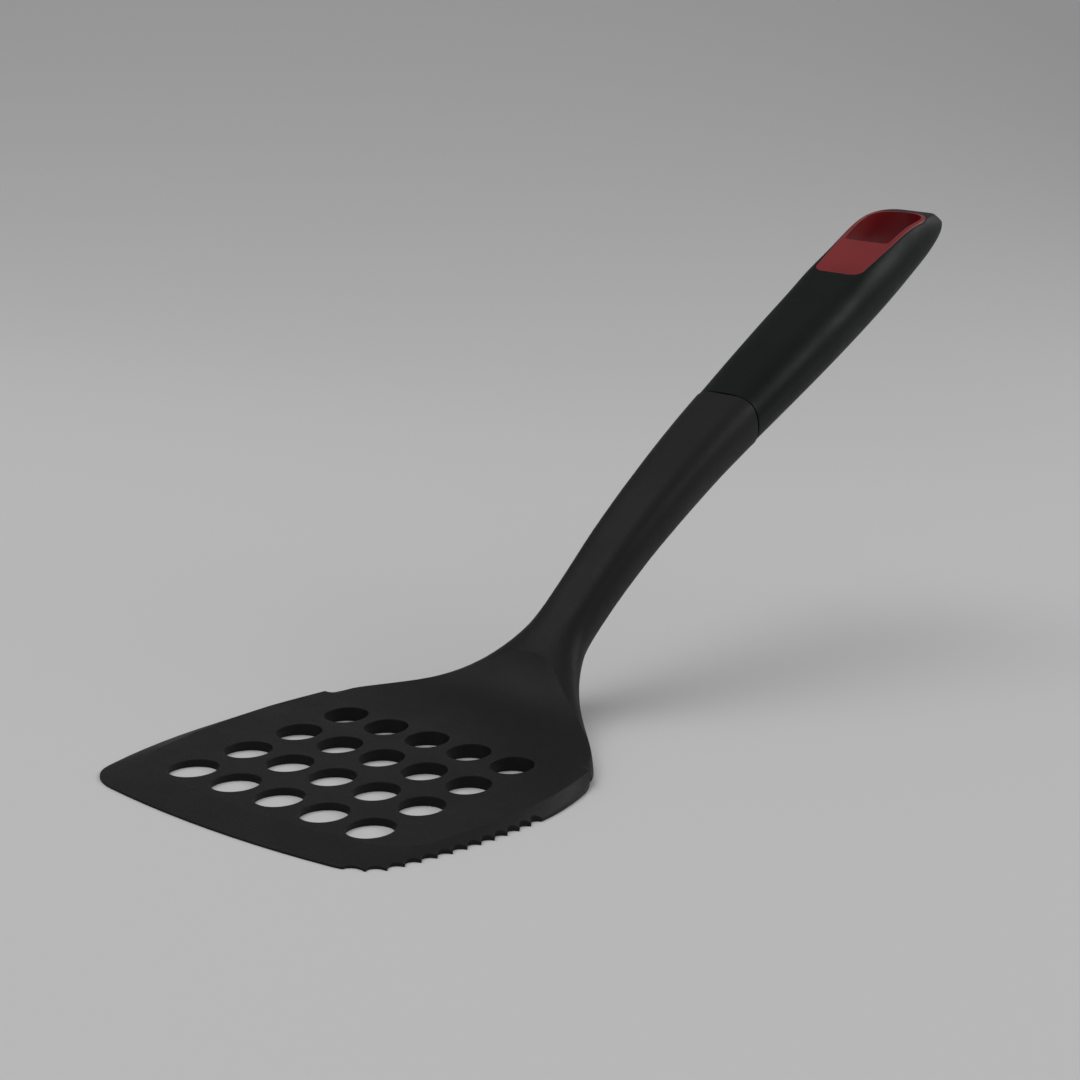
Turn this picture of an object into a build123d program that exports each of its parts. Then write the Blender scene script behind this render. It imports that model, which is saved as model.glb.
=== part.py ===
"""Perforated turner: moulded head, two-part handle core, grip sleeve and hang-hole insert.

Frame, in millimetres: the origin is the centre of the drain-hole pattern, on the
blade's flat underside. +X points to the serrated edge, +Y to the handle, +Z up.
"""

import os
from math import atan2, cos, degrees, hypot, pi, radians, sin, sqrt

from build123d import *

# --- Blade ---------------------------------------------------------------------
blade_width = 78.0
widest_y = 7.0
front_reach = 45.0
front_edge_radius = 146.0
side_edge_radius = 180.0
front_corner_radius = 10.5
edge_land = 0.5
front_thickness = 1.0
middle_thickness = 2.05
rear_thickness = 3.2
rear_y = 31.5

# --- Bevel round the blade: it climbs from the edge to this line at bevel_height --
bevel_height = 3.5
bevel_end_y = 36.0
bevel_margin = 0.5
bevel_front_run = 43.0
bevel_front_inset = 19.0
bevel_front_sag = 0.5
# Points of the line as (inset from the blade's widest, distance behind the front edge).
bevel_corner_middle = (11.7, 44.6)
bevel_side_start = (7.2, 49.0)
bevel_side_middle = (5.1, 58.0)
bevel_side_end = (4.2, 65.0)
bevel_rear_overrun = 0.3

# --- Drain holes ---------------------------------------------------------------
hole_columns = 5
hole_rows = 4
hole_pitch_x = 10.6
hole_pitch_y = 16.5
hole_width = 8.1
hole_length = 12.1

# --- Serrated edge -------------------------------------------------------------
scallop_count = 13
scallop_pitch = 4.05
scallop_radius = 2.2
scallop_depth = 1.2
scallops_on_corner = 2.0

# --- Neck and shaft ------------------------------------------------------------
neck_start_y = 34.0
plate_end_y = 34.4
neck_y = 86.0
neck_width = 13.0
neck_thickness = 11.8
shaft_stations = 18
# Height of the centre line, and half of the blade's thickness, where the neck starts.
neck_start_z = 1.65
# How far the neck rises above the blade's top there, before the scoop trims it.
scoop_cover = 0.5
# The flare from the blade to the neck: at each Y, the share of the extra width that is left.
flare_shares = (
    (26.1, 0.941),
    (32.4, 0.891),
    (38.7, 0.807),
    (45.1, 0.682),
    (51.4, 0.533),
    (57.7, 0.377),
    (64.0, 0.231),
    (70.0, 0.109),
    (78.0, 0.02),
    (neck_y, 0.0),
)
flare = [(y, neck_width / 2 + share * (blade_width - neck_width) / 2) for y, share in flare_shares]
# How far the section's corners reach in from its sides, as a share of its half-width.
corner_shares = ((34.0, 0.06), (46.0, 0.45), (58.0, 0.96), (66.0, 0.95), (73.0, 0.85), (84.0, 0.7))
# How square those corners are: 0.55 is a quarter of an ellipse, 1 is a sharp corner.
corner_squareness = ((36.5, 1.0), (46.0, 0.7), (56.0, 0.46), (68.0, 0.48), (84.0, 0.66))
# Centre line of the neck and shaft in the side view, after its start.
spine_points = ((45.0, 3.1), (57.7, 6.2), (68.0, 11.4), (82.6, 22.0), (103.1, 37.3), (127.3, 52.1))
# Top of the blade as it sweeps up into the neck, in the side view.
scoop_points = ((45.0, 4.5), (54.5, 7.0), (61.0, 11.4), (66.6, 19.0))

# --- Handle --------------------------------------------------------------------
joint_y = 153.0
joint_z = 65.6
handle_angle = 26.0
joint_width = 19.1
joint_thickness = 15.4
handle_length = 146.0
grip_width = 23.4
grip_rise = 8.8
grip_drop = 8.7
grip_peak = 84.0
# How much narrower and shallower the grip gets from its peak to its end, on each side.
grip_taper = 2.1
# The end: how long its rounding is in plan and on top, how its flat top closes, how low its tip lies.
tip_length = 36.0
tip_roundness = 2.8
tip_top_length = 42.0
tip_top_roundness = 1.5
tip_flat_length = 24.0
tip_drop = 5.6
grip_corner_run = 8.6
grip_squareness = 0.66
# Squareness of the upper corners beside the hang hole, and at the handle's end.
shoulder_squareness = 0.45
end_squareness = 0.4
skin = 1.8
# How much of the sleeve's solid end stands between the core and the hang hole's liner.
core_end_margin = 2.0
joint_gap = 0.7
joint_groove_depth = 0.8

# --- Hang-hole insert ----------------------------------------------------------
# The hole's round end stops this far short of the handle's end. The hole widens towards it.
hang_hole_end_margin = 17.2
hang_hole_length = 33.0
hang_hole_start_width = 14.0
hang_hole_end_width = 15.8
hang_hole_corner_radius = 2.0
hang_hole_end_round = 11.3
insert_wall = 1.3
# How far inside the insert's rim the grip's flat top ends.
rim_crown = 0.8
# The flat panel in front of the hole.
panel_length = 22.0
panel_start_width = 14.2
panel_corner_radius = 3.0
panel_depth = 3.2
fit_clearance = 0.1

hang_hole_start = handle_length - hang_hole_end_margin - hang_hole_length
hang_hole_shoulder = handle_length - hang_hole_end_margin - hang_hole_end_round

# --- Tang ----------------------------------------------------------------------
tang_length = 52.0
tang_width = 11.0
tang_thickness = 8.0
peg_diameter = 4.0
peg_clearance = 0.1
peg_reach = 1.5
tang_hole_distance = 34.0
second_peg_distance = 66.0


def smooth(value, start, end):
    """0 before start, 1 after end, and a smooth rise between."""
    share = min(max((value - start) / (end - start), 0.0), 1.0)
    return share * share * (3 - 2 * share)


def between(value, table):
    """Straight-line value between the pairs of a table."""
    if value <= table[0][0]:
        return table[0][1]
    for (x0, y0), (x1, y1) in zip(table, table[1:]):
        if value <= x1:
            return y0 + (y1 - y0) * (value - x0) / (x1 - x0)
    return table[-1][1]


def section_plane(y, z, angle):
    """A plane across the spine at (y, z), with its own y axis along the upper normal."""
    tilt = radians(angle)
    return Plane(origin=(0, y, z), x_dir=(1, 0, 0), z_dir=(0, -cos(tilt), -sin(tilt)))


def rounded_section(plane, half_width, upper, lower):
    """A closed section. Its upper and lower side are each (height, half-width of the flat, squareness)."""
    middle = (upper[0] + lower[0]) / 2
    side = (upper[0] - lower[0]) * 0.04
    with BuildSketch(plane) as face:
        with BuildLine():
            for (end, flat, squareness), turn in ((upper, 1), (lower, -1)):
                side_end = middle + turn * side
                bend_x = flat + squareness * (half_width - flat)
                bend_y = side_end + squareness * (end - side_end)
                for x in (1, -1):
                    Bezier(
                        (x * flat, end),
                        (x * bend_x, end),
                        (x * half_width, bend_y),
                        (x * half_width, side_end),
                    )
                Line((-flat, end), (flat, end))
            for x in (half_width, -half_width):
                Line((x, middle - side), (x, middle + side))
        make_face()
    return face.sketch.faces()[0]


# --- Blade outline -------------------------------------------------------------
front_centre_y = front_edge_radius - front_reach
side_centre_x = blade_width / 2 - side_edge_radius


def corner_centre():
    """Centre of the arc that rounds the front edge into the serrated side."""
    to_front = front_edge_radius - front_corner_radius
    to_side = side_edge_radius - front_corner_radius
    gap_x = -side_centre_x
    gap_y = front_centre_y - widest_y
    gap = hypot(gap_x, gap_y)
    along = (to_side**2 - to_front**2 + gap**2) / (2 * gap)
    across = sqrt(to_side**2 - along**2)
    unit_x, unit_y = gap_x / gap, gap_y / gap
    return side_centre_x + unit_x * along + unit_y * across, widest_y + unit_y * along - unit_x * across


corner_x, corner_y = corner_centre()
front_reach_angle = atan2(corner_x, front_centre_y - corner_y)
side_turn = atan2(widest_y - corner_y, corner_x - side_centre_x)


def outline_edges(margin, rear_edge_y):
    """The blade's plan outline as a closed loop, grown outward by margin."""
    front_r = front_edge_radius + margin
    corner_r = front_corner_radius + margin
    side_r = side_edge_radius + margin
    front_end = (front_r * sin(front_reach_angle), front_centre_y - front_r * cos(front_reach_angle))
    side_start = (side_centre_x + side_r * cos(side_turn), widest_y - side_r * sin(side_turn))
    middle = (front_reach_angle - pi / 2 - side_turn) / 2
    corner_middle = (corner_x + corner_r * cos(middle), corner_y + corner_r * sin(middle))
    half_turn = side_turn / 2
    side_middle = (side_centre_x + side_r * cos(half_turn), widest_y - side_r * sin(half_turn))
    widest = (blade_width / 2 + margin, widest_y)
    rear = [(x + margin, y) for y, x in flare if y < rear_edge_y]
    rear.append((between(rear_edge_y, flare) + margin, rear_edge_y))
    return front_end, corner_middle, side_start, side_middle, widest, rear


def blade_outline(margin, rear_edge_y, height):
    """The blade's plan outline as a face at the given height."""
    front_end, corner_middle, side_start, side_middle, widest, rear = outline_edges(margin, rear_edge_y)
    with BuildSketch(Plane.XY.offset(height)) as face:
        with BuildLine():
            ThreePointArc((-front_end[0], front_end[1]), (0, -front_reach - margin), front_end)
            for side in (1, -1):
                stops = (front_end, corner_middle, side_start, side_middle, widest)
                mirrored = [(side * x, y) for x, y in stops]
                ThreePointArc(mirrored[0], mirrored[1], mirrored[2])
                ThreePointArc(mirrored[2], mirrored[3], mirrored[4])
                tail = [(side * x, y) for x, y in rear]
                Spline(mirrored[4], *tail, tangents=((0, 1), (-side * 0.48, 1)))
            Line((-rear[-1][0], rear_edge_y), (rear[-1][0], rear_edge_y))
        make_face()
    return face.sketch.faces()[0]


# --- Spine ---------------------------------------------------------------------
handle_slope = (cos(radians(handle_angle)), sin(radians(handle_angle)))
with BuildLine(Plane.YZ) as spine:
    Spline(
        (neck_start_y, neck_start_z), *spine_points, (joint_y, joint_z), tangents=((1, 0.06), handle_slope)
    )
spine_curve = spine.edges()[0]


def spine_station(share):
    """Position and slope of the spine at a share of its length."""
    point = spine_curve.position_at(share)
    direction = spine_curve.tangent_at(share)
    return point.Y, point.Z, degrees(atan2(direction.Z, direction.Y))


def shaft_section(share):
    """The neck and shaft's section at a share of the spine's length."""
    y, z, slope = spine_station(share)
    along = max(y - neck_y, 0) / (joint_y - neck_y)
    half = between(y, flare) + (joint_width - neck_width) / 2 * along
    thick = (neck_thickness + (joint_thickness - neck_thickness) * along) / 2
    start_rise = neck_start_z + scoop_cover
    rise = start_rise + (thick - start_rise) * smooth(y, 34, 76)
    drop = neck_start_z + (thick - neck_start_z) * smooth(y, 36, 74)
    flat = half * (1 - between(y, corner_shares))
    squareness = between(y, corner_squareness)
    return rounded_section(
        section_plane(y, z, slope), half, (rise, flat, squareness), (-drop, flat, squareness)
    )


# --- Turner head ---------------------------------------------------------------
def bevel_line(height):
    """Where the bevel reaches the given height, as a closed loop like the outline."""
    front_y = bevel_front_run - front_reach
    front_end = (blade_width / 2 - bevel_front_inset, front_y + bevel_front_sag)
    rear = (between(bevel_end_y, flare) + bevel_rear_overrun, bevel_end_y)
    measured = (bevel_corner_middle, bevel_side_start, bevel_side_middle, bevel_side_end)
    turns = [(blade_width / 2 - inset, behind - front_reach) for inset, behind in measured]
    with BuildSketch(Plane.XY.offset(height)) as face:
        with BuildLine():
            ThreePointArc((-front_end[0], front_end[1]), (0, front_y), front_end)
            for side in (1, -1):
                corner, bend, start, middle, end, last = [
                    (side * x, y) for x, y in (front_end, *turns, rear)
                ]
                ThreePointArc(corner, bend, start)
                ThreePointArc(start, middle, end)
                Spline(end, last, tangents=((0, 1), (-side * 0.1, 1)))
            Line((-rear[0], rear[1]), rear)
        make_face()
    return face.sketch.faces()[0]


def scallop_centres():
    """Centres of the scallops, one pitch apart along the corner and the serrated side."""
    centres = []
    for index in range(scallop_count):
        along = (index - scallops_on_corner) * scallop_pitch
        if along < 0:
            reach = front_corner_radius - scallop_depth + scallop_radius
            turn = -side_turn + along / front_corner_radius
            centres.append((corner_x + reach * cos(turn), corner_y + reach * sin(turn)))
        else:
            reach = side_edge_radius - scallop_depth + scallop_radius
            turn = -side_turn + along / side_edge_radius
            centres.append((side_centre_x + reach * cos(turn), widest_y + reach * sin(turn)))
    return centres


handle_plane = Plane(
    origin=(0, joint_y, joint_z), x_dir=(1, 0, 0), z_dir=(0, -handle_slope[1], handle_slope[0])
)


def handle_station(distance):
    """The plane across the handle at a distance from the joint."""
    return section_plane(
        joint_y + distance * handle_slope[0], joint_z + distance * handle_slope[1], handle_angle
    )


with BuildPart() as bevel_waste:
    with BuildSketch(Plane.XY.offset(edge_land - 0.1)):
        with Locations((0, bevel_end_y)):
            Rectangle(2 * blade_width, 2 * front_reach + bevel_end_y, align=(Align.CENTER, Align.MAX))
    extrude(amount=bevel_height - edge_land + 0.1)
    loft(
        sections=[blade_outline(bevel_margin, bevel_end_y, edge_land - 0.1), bevel_line(bevel_height)],
        ruled=True,
        mode=Mode.SUBTRACT,
    )

with BuildPart() as turner_head:
    add(extrude(blade_outline(0, plate_end_y, 0), amount=12, mode=Mode.PRIVATE))
    loft(sections=[shaft_section(k / (shaft_stations - 1)) for k in range(shaft_stations)])
    # The space above the blade's top and its sweep up to the neck.
    with BuildSketch(Plane.YZ) as above_blade:
        with BuildLine():
            front = (-front_reach - 20, front_thickness * 0.45)
            middle = (0, middle_thickness)
            rear = (rear_y, rear_thickness)
            Line(front, middle)
            Line(middle, rear)
            Spline(rear, *scoop_points, tangents=((1, 0.04), (0.5, 1)))
            Line(scoop_points[-1], (scoop_points[-1][0] - 8, 60))
            Line((scoop_points[-1][0] - 8, 60), (front[0], 60))
            Line((front[0], 60), front)
        make_face()
    extrude(amount=blade_width, both=True, mode=Mode.SUBTRACT)
    add(bevel_waste.part, mode=Mode.SUBTRACT)
    with BuildSketch():
        with GridLocations(hole_pitch_x, hole_pitch_y, hole_columns, hole_rows):
            Ellipse(hole_width / 2, hole_length / 2)
    extrude(amount=10, mode=Mode.SUBTRACT)
    with BuildSketch():
        with Locations(*scallop_centres()):
            Circle(scallop_radius)
    extrude(amount=10, mode=Mode.SUBTRACT)
    # The recessed collar that leaves the groove, and the tang inside the handle.
    with BuildSketch(handle_station(0)) as collar:
        RectangleRounded(
            joint_width - 2 * joint_groove_depth,
            joint_thickness - 2 * joint_groove_depth,
            joint_thickness / 2 - joint_groove_depth - 0.6,
        )
    extrude(amount=-joint_gap)
    with BuildSketch(handle_station(joint_gap)) as tang:
        RectangleRounded(tang_width, tang_thickness, 2)
    extrude(amount=-tang_length)
    with BuildSketch(handle_plane):
        with Locations((0, tang_hole_distance)):
            Circle(peg_diameter / 2 + peg_clearance)
    extrude(amount=tang_thickness, both=True, mode=Mode.SUBTRACT)
turner_head.part.label = "turner_head"


# --- Handle --------------------------------------------------------------------
def closing(distance, length, roundness):
    """1 up to the start of the end's rounding, and from there a curve to 0 at the handle's end."""
    share = max(distance - handle_length + length, 0) / length
    return (1 - share**roundness) ** (1 / roundness)


def upper_flat(distance, half_width):
    """Half-width of the grip's flat top: it widens to the insert's rim and closes round its far end."""
    rim_start = panel_start_width / 2 - rim_crown
    rim_end = hang_hole_end_width / 2 + insert_wall - rim_crown
    panel_start = hang_hole_start - panel_length
    if distance > hang_hole_shoulder:
        share = min((distance - hang_hole_shoulder) / tip_flat_length, 1)
        return rim_end * sqrt(1 - share**2)
    plain = half_width - grip_corner_run
    stages = ((panel_start - 16, plain), (panel_start, rim_start), (hang_hole_shoulder, rim_end))
    return between(distance, stages)


def grip_section(distance, inset):
    """The handle's outer section at a distance from the joint, shrunk by inset."""
    swell = sin(pi / 2 * min(distance / grip_peak, 1))
    taper = grip_taper * (max(distance - grip_peak, 0) / (handle_length - grip_peak)) ** 2
    half = (joint_width + (grip_width - joint_width) * swell) / 2 - taper
    rise = joint_thickness / 2 + (grip_rise - joint_thickness / 2) * swell
    drop = joint_thickness / 2 + (grip_drop - joint_thickness / 2) * swell - taper
    half = half * closing(distance, tip_length, tip_roundness) - inset
    top = (rise + tip_drop) * closing(distance, tip_top_length, tip_top_roundness) - tip_drop - inset
    bottom = inset - (drop - tip_drop) * closing(distance, tip_length, tip_roundness) - tip_drop
    flat = max(min(upper_flat(distance, half), 0.85 * half), 0.1 * half)
    lower_flat = max(half - grip_corner_run, 0.1 * half)
    stages = (
        (hang_hole_start - panel_length - 16, grip_squareness),
        (hang_hole_start, shoulder_squareness),
        (hang_hole_start + hang_hole_length - 6, shoulder_squareness),
        (hang_hole_start + hang_hole_length, end_squareness),
    )
    return rounded_section(
        handle_station(distance),
        half,
        (top, flat, between(distance, stages)),
        (bottom, lower_flat, grip_squareness),
    )


def grip_loft(end, inset):
    """The handle's outer shape from the joint gap to its end, shrunk by inset."""
    tip_start = handle_length - tip_length
    straight = [joint_gap + (tip_start - joint_gap) * k / 9 for k in range(10)]
    angles = (8, 16, 24, 32, 40, 49, 58, 67, 76, 83)
    turns = [tip_start + tip_length * sin(radians(angle)) for angle in angles]
    stations = straight + turns
    if end < handle_length:
        stations = [distance for distance in stations if distance < end - 2] + [end]
    with BuildPart() as shape:
        loft(sections=[grip_section(distance, inset) for distance in stations])
    return shape.part


def hole_outline(grown, start_corner_radius):
    """The hang hole's outline in the handle's plane, grown by a margin, with a round far end."""
    start = hang_hole_start - grown
    start_half = hang_hole_start_width / 2 + grown
    end_half = hang_hole_end_width / 2 + grown
    with BuildSketch(handle_plane) as face:
        with BuildLine():
            Polyline(
                (-end_half, hang_hole_shoulder),
                (-start_half, start),
                (start_half, start),
                (end_half, hang_hole_shoulder),
            )
            EllipticalCenterArc(
                (0, hang_hole_shoulder),
                end_half,
                hang_hole_end_round + grown,
                start_angle=0,
                arc_size=180,
            )
        make_face()
        fillet(face.vertices().group_by(Axis.Y)[0], start_corner_radius)
    return face.sketch.faces()[0]


def insert_space(clearance):
    """The space the hang-hole insert fills: its panel and the tube round the hole."""
    grown = insert_wall + clearance
    tube = hole_outline(grown, hang_hole_corner_radius + grown)
    start_half = panel_start_width / 2 + clearance
    panel_end = hang_hole_start + hang_hole_corner_radius + insert_wall
    share = (panel_end - hang_hole_start + grown) / (hang_hole_shoulder - hang_hole_start + grown)
    widening = (hang_hole_end_width - hang_hole_start_width) / 2 * share
    end_half = hang_hole_start_width / 2 + grown + widening
    with BuildPart() as space:
        with BuildSketch(handle_plane.offset(grip_rise - panel_depth - clearance)) as panel:
            with BuildLine():
                Polyline(
                    (-start_half, hang_hole_start - panel_length - clearance),
                    (start_half, hang_hole_start - panel_length - clearance),
                    (end_half, panel_end),
                    (-end_half, panel_end),
                    close=True,
                )
            make_face()
            fillet(panel.vertices().group_by(Axis.Y)[0], panel_corner_radius)
        extrude(amount=grip_width)
        extrude(tube, amount=grip_width, both=True)
    return space.part


grip_outer = grip_loft(handle_length, 0)
core_outer = grip_loft(hang_hole_start - insert_wall - core_end_margin, skin)

with BuildPart() as grip_sleeve:
    add(grip_outer)
    add(core_outer, mode=Mode.SUBTRACT)
    add(insert_space(fit_clearance), mode=Mode.SUBTRACT)
grip_sleeve.part.label = "grip_sleeve"

with BuildPart() as hang_hole_insert:
    add(insert_space(0))
    add(grip_outer, mode=Mode.INTERSECT)
    extrude(hole_outline(0, hang_hole_corner_radius), amount=grip_width, both=True, mode=Mode.SUBTRACT)
hang_hole_insert.part.label = "hang_hole_insert"

with BuildPart() as core_blank:
    add(core_outer)
    add(insert_space(fit_clearance), mode=Mode.SUBTRACT)
    with BuildSketch(handle_station(joint_gap)):
        RectangleRounded(
            tang_width + 2 * fit_clearance,
            tang_thickness + 2 * fit_clearance,
            2 + fit_clearance,
        )
    extrude(amount=-tang_length - fit_clearance, mode=Mode.SUBTRACT)

with BuildPart() as handle_core_lower:
    add(split(core_blank.part, bisect_by=handle_plane, keep=Keep.BOTTOM, mode=Mode.PRIVATE))
    with BuildSketch(handle_plane.offset(-tang_thickness / 2 - fit_clearance)):
        with Locations((0, tang_hole_distance), (0, second_peg_distance)):
            Circle(peg_diameter / 2)
    extrude(amount=tang_thickness + peg_reach)
handle_core_lower.part.label = "handle_core_lower"

with BuildPart() as handle_core_upper:
    add(split(core_blank.part, bisect_by=handle_plane, keep=Keep.TOP, mode=Mode.PRIVATE))
    with BuildSketch(handle_plane):
        with Locations((0, tang_hole_distance), (0, second_peg_distance)):
            Circle(peg_diameter / 2 + peg_clearance)
    extrude(amount=tang_thickness / 2 + peg_reach + peg_clearance, mode=Mode.SUBTRACT)
handle_core_upper.part.label = "handle_core_upper"

os.makedirs("parts", exist_ok=True)
for piece in (turner_head, handle_core_lower, handle_core_upper, grip_sleeve, hang_hole_insert):
    export_step(piece.part, f"parts/{piece.part.label}.step")
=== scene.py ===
"""Looks for the perforated turner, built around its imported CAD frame."""

from math import cos, pi, radians, sin

import bpy
from mathutils import Matrix, Vector


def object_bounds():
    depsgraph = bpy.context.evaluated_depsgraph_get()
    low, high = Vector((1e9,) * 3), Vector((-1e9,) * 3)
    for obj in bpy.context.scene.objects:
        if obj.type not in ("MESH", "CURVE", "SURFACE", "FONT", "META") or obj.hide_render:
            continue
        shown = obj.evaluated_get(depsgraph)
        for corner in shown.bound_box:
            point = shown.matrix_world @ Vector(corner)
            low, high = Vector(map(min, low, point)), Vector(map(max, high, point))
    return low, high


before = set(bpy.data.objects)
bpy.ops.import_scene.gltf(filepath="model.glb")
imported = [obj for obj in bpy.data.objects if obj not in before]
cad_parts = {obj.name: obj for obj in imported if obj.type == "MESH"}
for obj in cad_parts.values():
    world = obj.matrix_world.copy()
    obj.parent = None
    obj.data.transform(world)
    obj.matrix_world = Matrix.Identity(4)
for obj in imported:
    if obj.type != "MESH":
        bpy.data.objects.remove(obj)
cad_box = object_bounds()
millimetre = 0.001

# --- Camera ----------------------------------------------------------------------
camera_place = Vector((0.2008, -0.2956, 0.1198))
camera_azimuth = 29.3
camera_elevation = 10.7
camera_roll = 7.2
camera_lens = 62.05
sensor_width = 36.0

# --- Stage -----------------------------------------------------------------------
floor_half_width = 12.0
floor_front = -12.0
floor_back = 0.7
backdrop_height = 5.0
backdrop_radius = 2.6
backdrop_steps = 24
floor_colour = (0.62, 0.62, 0.62, 1.0)
floor_roughness = 0.8

# --- Light: each area light's place, width and height in metres, and its watts -------
lights = {
    "key": ((-0.5, -0.3, 1.5), 1.2, 1.2, 10),
    "fill": ((1.0, -0.6, 0.6), 0.8, 0.8, 1.5),
    "rim": ((0.6, 1.2, 0.8), 0.9, 0.5, 4),
}
sky_colour = (0.75, 0.75, 0.75, 1.0)
sky_strength = 0.5

# --- Colours, and how each lightens where it is rubbed ------------------------------
nylon_colour = (0.0062, 0.0063, 0.0063, 1.0)
nylon_worn = (0.014, 0.0145, 0.0145, 1.0)
grip_colour = (0.0030, 0.0046, 0.0046, 1.0)
grip_worn = (0.008, 0.0105, 0.0105, 1.0)
red_colour = (0.17, 0.006, 0.009, 1.0)
red_worn = (0.30, 0.03, 0.035, 1.0)
core_colour = (0.05, 0.05, 0.052, 1.0)
core_worn = (0.09, 0.09, 0.092, 1.0)

# --- Sizes of the patterns that every plastic shares ------------------------------
cloud_size = 22 * millimetre
gloss_patch_size = 14 * millimetre
rub_size = 9 * millimetre
ripple_size = 6 * millimetre
fleck_size = 0.35 * millimetre


class Nodes:
    """A material's nodes, with a short way to add one and wire it."""

    def __init__(self, name):
        self.material = bpy.data.materials.new(name)
        self.material.use_nodes = True
        self.tree = self.material.node_tree
        self.shader = self.tree.nodes["Principled BSDF"]
        self.place = self.add("ShaderNodeTexCoord").outputs["Object"]

    def add(self, kind, inputs=None, **settings):
        """A node of that kind, with its settings and its input values or links."""
        node = self.tree.nodes.new(kind)
        for key, value in settings.items():
            setattr(node, key, value)
        for key, value in (inputs or {}).items():
            self.put(node.inputs[key], value)
        return node

    def put(self, socket, value):
        """Links an output to the socket, or sets its value."""
        if isinstance(value, bpy.types.NodeSocket):
            self.tree.links.new(value, socket)
        else:
            socket.default_value = value

    def noise(self, size, detail=3.0, roughness=0.5):
        """Noise whose features are about size metres across."""
        inputs = {"Vector": self.place, "Scale": 1 / size, "Detail": detail, "Roughness": roughness}
        return self.add("ShaderNodeTexNoise", inputs).outputs["Fac"]

    def spread(self, value, low, high, out_low, out_high):
        """The value mapped from one range to another, and held inside it."""
        inputs = {"Value": value, "From Min": low, "From Max": high, "To Min": out_low, "To Max": out_high}
        return self.add("ShaderNodeMapRange", inputs).outputs["Result"]

    def math(self, operation, first, second):
        """One sum, product or other operation on two values."""
        return self.add("ShaderNodeMath", {0: first, 1: second}, operation=operation).outputs[0]

    def mixed(self, share, first, second):
        """One colour shading into another."""
        node = self.add("ShaderNodeMix", {"Factor": share}, data_type="RGBA")
        first_colour, second_colour = [socket for socket in node.inputs if socket.type == "RGBA"]
        self.put(first_colour, first)
        self.put(second_colour, second)
        return next(socket for socket in node.outputs if socket.type == "RGBA")

    def edges(self, radius):
        """(a mask that is 1 on sharp edges and 0 on flat faces, the rounded normal)."""
        bevel = self.add("ShaderNodeBevel", {"Radius": radius}, samples=6).outputs["Normal"]
        true_normal = self.add("ShaderNodeNewGeometry").outputs["Normal"]
        same = self.add("ShaderNodeVectorMath", {0: bevel, 1: true_normal}, operation="DOT_PRODUCT")
        return self.spread(same.outputs["Value"], 0.98, 0.75, 0.0, 1.0), bevel


def moulded_plastic(name, colour, worn, roughness, shine, spark_size, spark_height, edge_radius):
    """Moulded plastic with a spark-eroded grain, uneven gloss and edges rubbed smooth."""
    nodes = Nodes(name)
    edge, rounded = nodes.edges(edge_radius)
    rub = nodes.spread(nodes.noise(rub_size, 4.0, 0.6), 0.35, 0.7, 0.35, 1.0)
    worn_edge = nodes.math("MULTIPLY", edge, rub)
    cloud = nodes.spread(nodes.noise(cloud_size, 3.0), 0.3, 0.7, 0.0, 0.28)
    fleck = nodes.spread(nodes.noise(fleck_size, 2.0), 0.62, 0.82, 0.0, 0.35)
    tone = nodes.mixed(nodes.math("ADD", cloud, fleck), colour, worn)
    nodes.put(nodes.shader.inputs["Base Color"], nodes.mixed(worn_edge, tone, worn))

    grain = nodes.noise(spark_size, 2.0, 0.55)
    patchy = nodes.spread(nodes.noise(gloss_patch_size, 4.0, 0.6), 0.3, 0.7, -0.05, 0.05)
    gloss = nodes.math("ADD", nodes.spread(grain, 0.3, 0.7, roughness - 0.05, roughness + 0.06), patchy)
    rubbed = nodes.math("SUBTRACT", gloss, nodes.math("MULTIPLY", worn_edge, 0.1))
    nodes.put(nodes.shader.inputs["Roughness"], rubbed)

    ripple = nodes.math("MULTIPLY", nodes.noise(ripple_size, 2.0), 0.12)
    height = nodes.math("ADD", grain, ripple)
    bump = nodes.add(
        "ShaderNodeBump", {"Height": height, "Normal": rounded, "Distance": spark_height, "Strength": 1.0}
    )
    nodes.put(nodes.shader.inputs["Normal"], bump.outputs["Normal"])
    nodes.shader.inputs["Specular IOR Level"].default_value = shine
    return nodes.material


finishes = {
    "turner_head": moulded_plastic(
        "head_nylon",
        nylon_colour,
        nylon_worn,
        roughness=0.52,
        shine=0.16,
        spark_size=0.34 * millimetre,
        spark_height=0.05 * millimetre,
        edge_radius=0.4 * millimetre,
    ),
    "grip_sleeve": moulded_plastic(
        "grip_soft",
        grip_colour,
        grip_worn,
        roughness=0.5,
        shine=0.1,
        spark_size=0.24 * millimetre,
        spark_height=0.018 * millimetre,
        edge_radius=0.4 * millimetre,
    ),
    "hang_hole_insert": moulded_plastic(
        "insert_red",
        red_colour,
        red_worn,
        roughness=0.42,
        shine=0.25,
        spark_size=0.3 * millimetre,
        spark_height=0.014 * millimetre,
        edge_radius=0.4 * millimetre,
    ),
}
core_finish = moulded_plastic(
    "core_plastic",
    core_colour,
    core_worn,
    roughness=0.45,
    shine=0.3,
    spark_size=0.4 * millimetre,
    spark_height=0.02 * millimetre,
    edge_radius=0.3 * millimetre,
)

for name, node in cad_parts.items():
    finish = finishes.get(name, core_finish)
    for index in range(max(len(node.material_slots), 1)):
        if len(node.data.materials) <= index:
            node.data.materials.append(finish)
        else:
            node.data.materials[index] = finish


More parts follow.
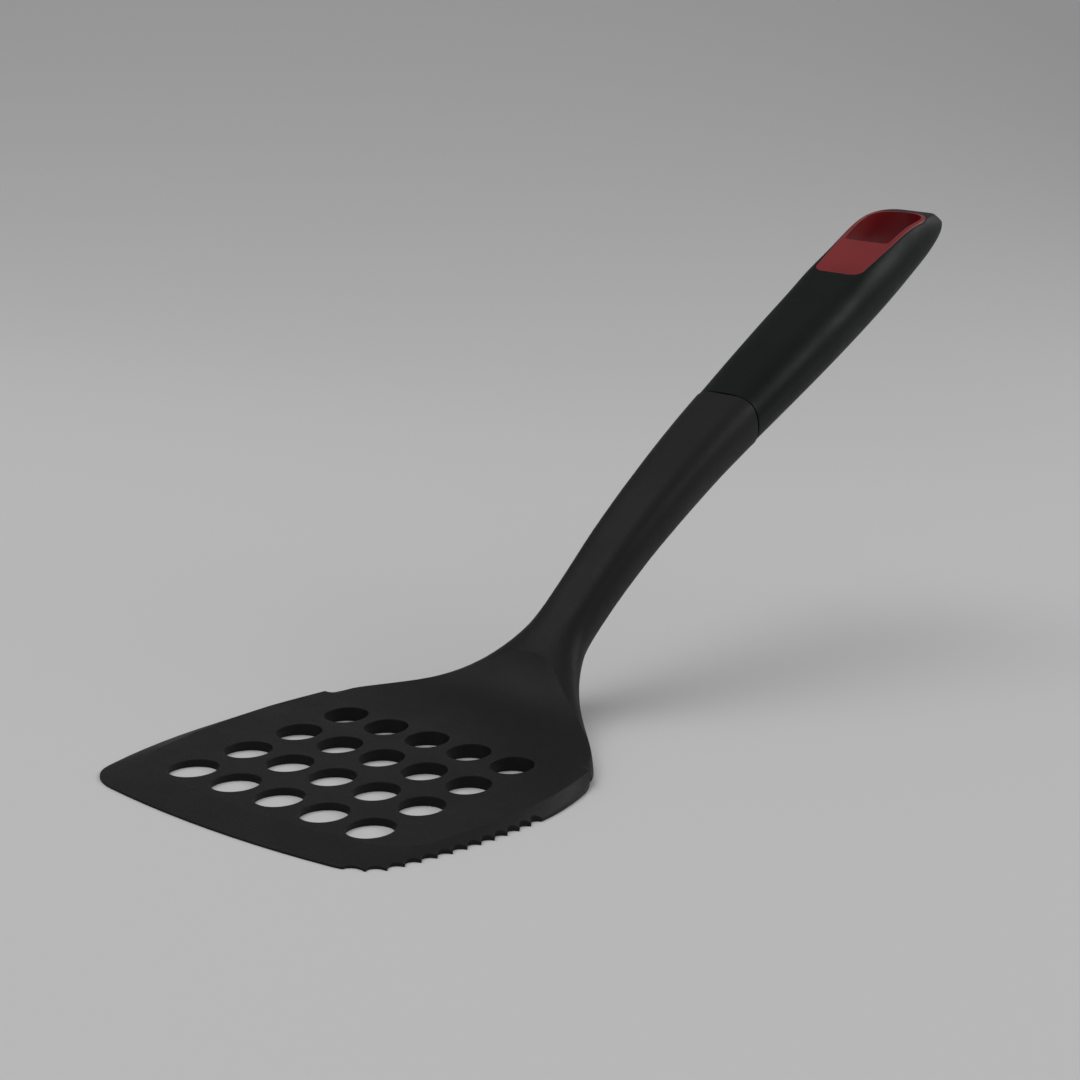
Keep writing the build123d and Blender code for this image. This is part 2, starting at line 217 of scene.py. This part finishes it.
# --- Stage, light and camera -------------------------------------------------------
def pale_floor():
    """A floor that curves up behind the object, so that no edge shows."""
    profile = [(floor_front, 0.0)]
    for step in range(backdrop_steps + 1):
        turn = pi / 2 * step / backdrop_steps
        profile.append((floor_back + backdrop_radius * sin(turn), backdrop_radius * (1 - cos(turn))))
    profile.append((floor_back + backdrop_radius, backdrop_height))
    points = [(side * floor_half_width, y, z) for y, z in profile for side in (-1, 1)]
    faces = [(2 * i, 2 * i + 1, 2 * i + 3, 2 * i + 2) for i in range(len(profile) - 1)]
    mesh = bpy.data.meshes.new("floor")
    mesh.from_pydata(points, [], faces)
    mesh.polygons.foreach_set("use_smooth", [True] * len(faces))
    floor = bpy.data.objects.new("floor", mesh)
    bpy.context.scene.collection.objects.link(floor)
    nodes = Nodes("floor_paint")
    nodes.shader.inputs["Base Color"].default_value = floor_colour
    nodes.shader.inputs["Roughness"].default_value = floor_roughness
    mesh.materials.append(nodes.material)
    return floor


floor = pale_floor()
floor.matrix_world = Matrix.Rotation(radians(camera_azimuth), 4, "Z")


def soft_light(name, place, aim, width, height, watts):
    """An area light at a place, aimed at a point."""
    data = bpy.data.lights.new(name, "AREA")
    data.shape = "RECTANGLE"
    data.size, data.size_y = width, height
    data.energy = watts
    light = bpy.data.objects.new(name, data)
    light.location = place
    light.rotation_euler = (Vector(aim) - Vector(place)).to_track_quat("-Z", "Y").to_euler()
    bpy.context.scene.collection.objects.link(light)


middle = (cad_box[0] + cad_box[1]) / 2
for light_name, (place, width, height, watts) in lights.items():
    soft_light(light_name, place, middle, width, height, watts)

world = bpy.data.worlds.new("studio")
bpy.context.scene.world = world
world.use_nodes = True
world.node_tree.nodes["Background"].inputs["Color"].default_value = sky_colour
world.node_tree.nodes["Background"].inputs["Strength"].default_value = sky_strength

camera_data = bpy.data.cameras.new("camera")
camera_data.lens = camera_lens
camera_data.sensor_width = sensor_width
camera = bpy.data.objects.new("camera", camera_data)
turn = Matrix.Rotation(radians(camera_azimuth), 4, "Z")
lift = Matrix.Rotation(radians(90 - camera_elevation), 4, "X")
roll = Matrix.Rotation(radians(camera_roll), 4, "Z")
camera.matrix_world = Matrix.Translation(camera_place) @ turn @ lift @ roll
bpy.context.scene.collection.objects.link(camera)
bpy.context.scene.camera = camera
bpy.context.scene.view_settings.view_transform = "Standard"
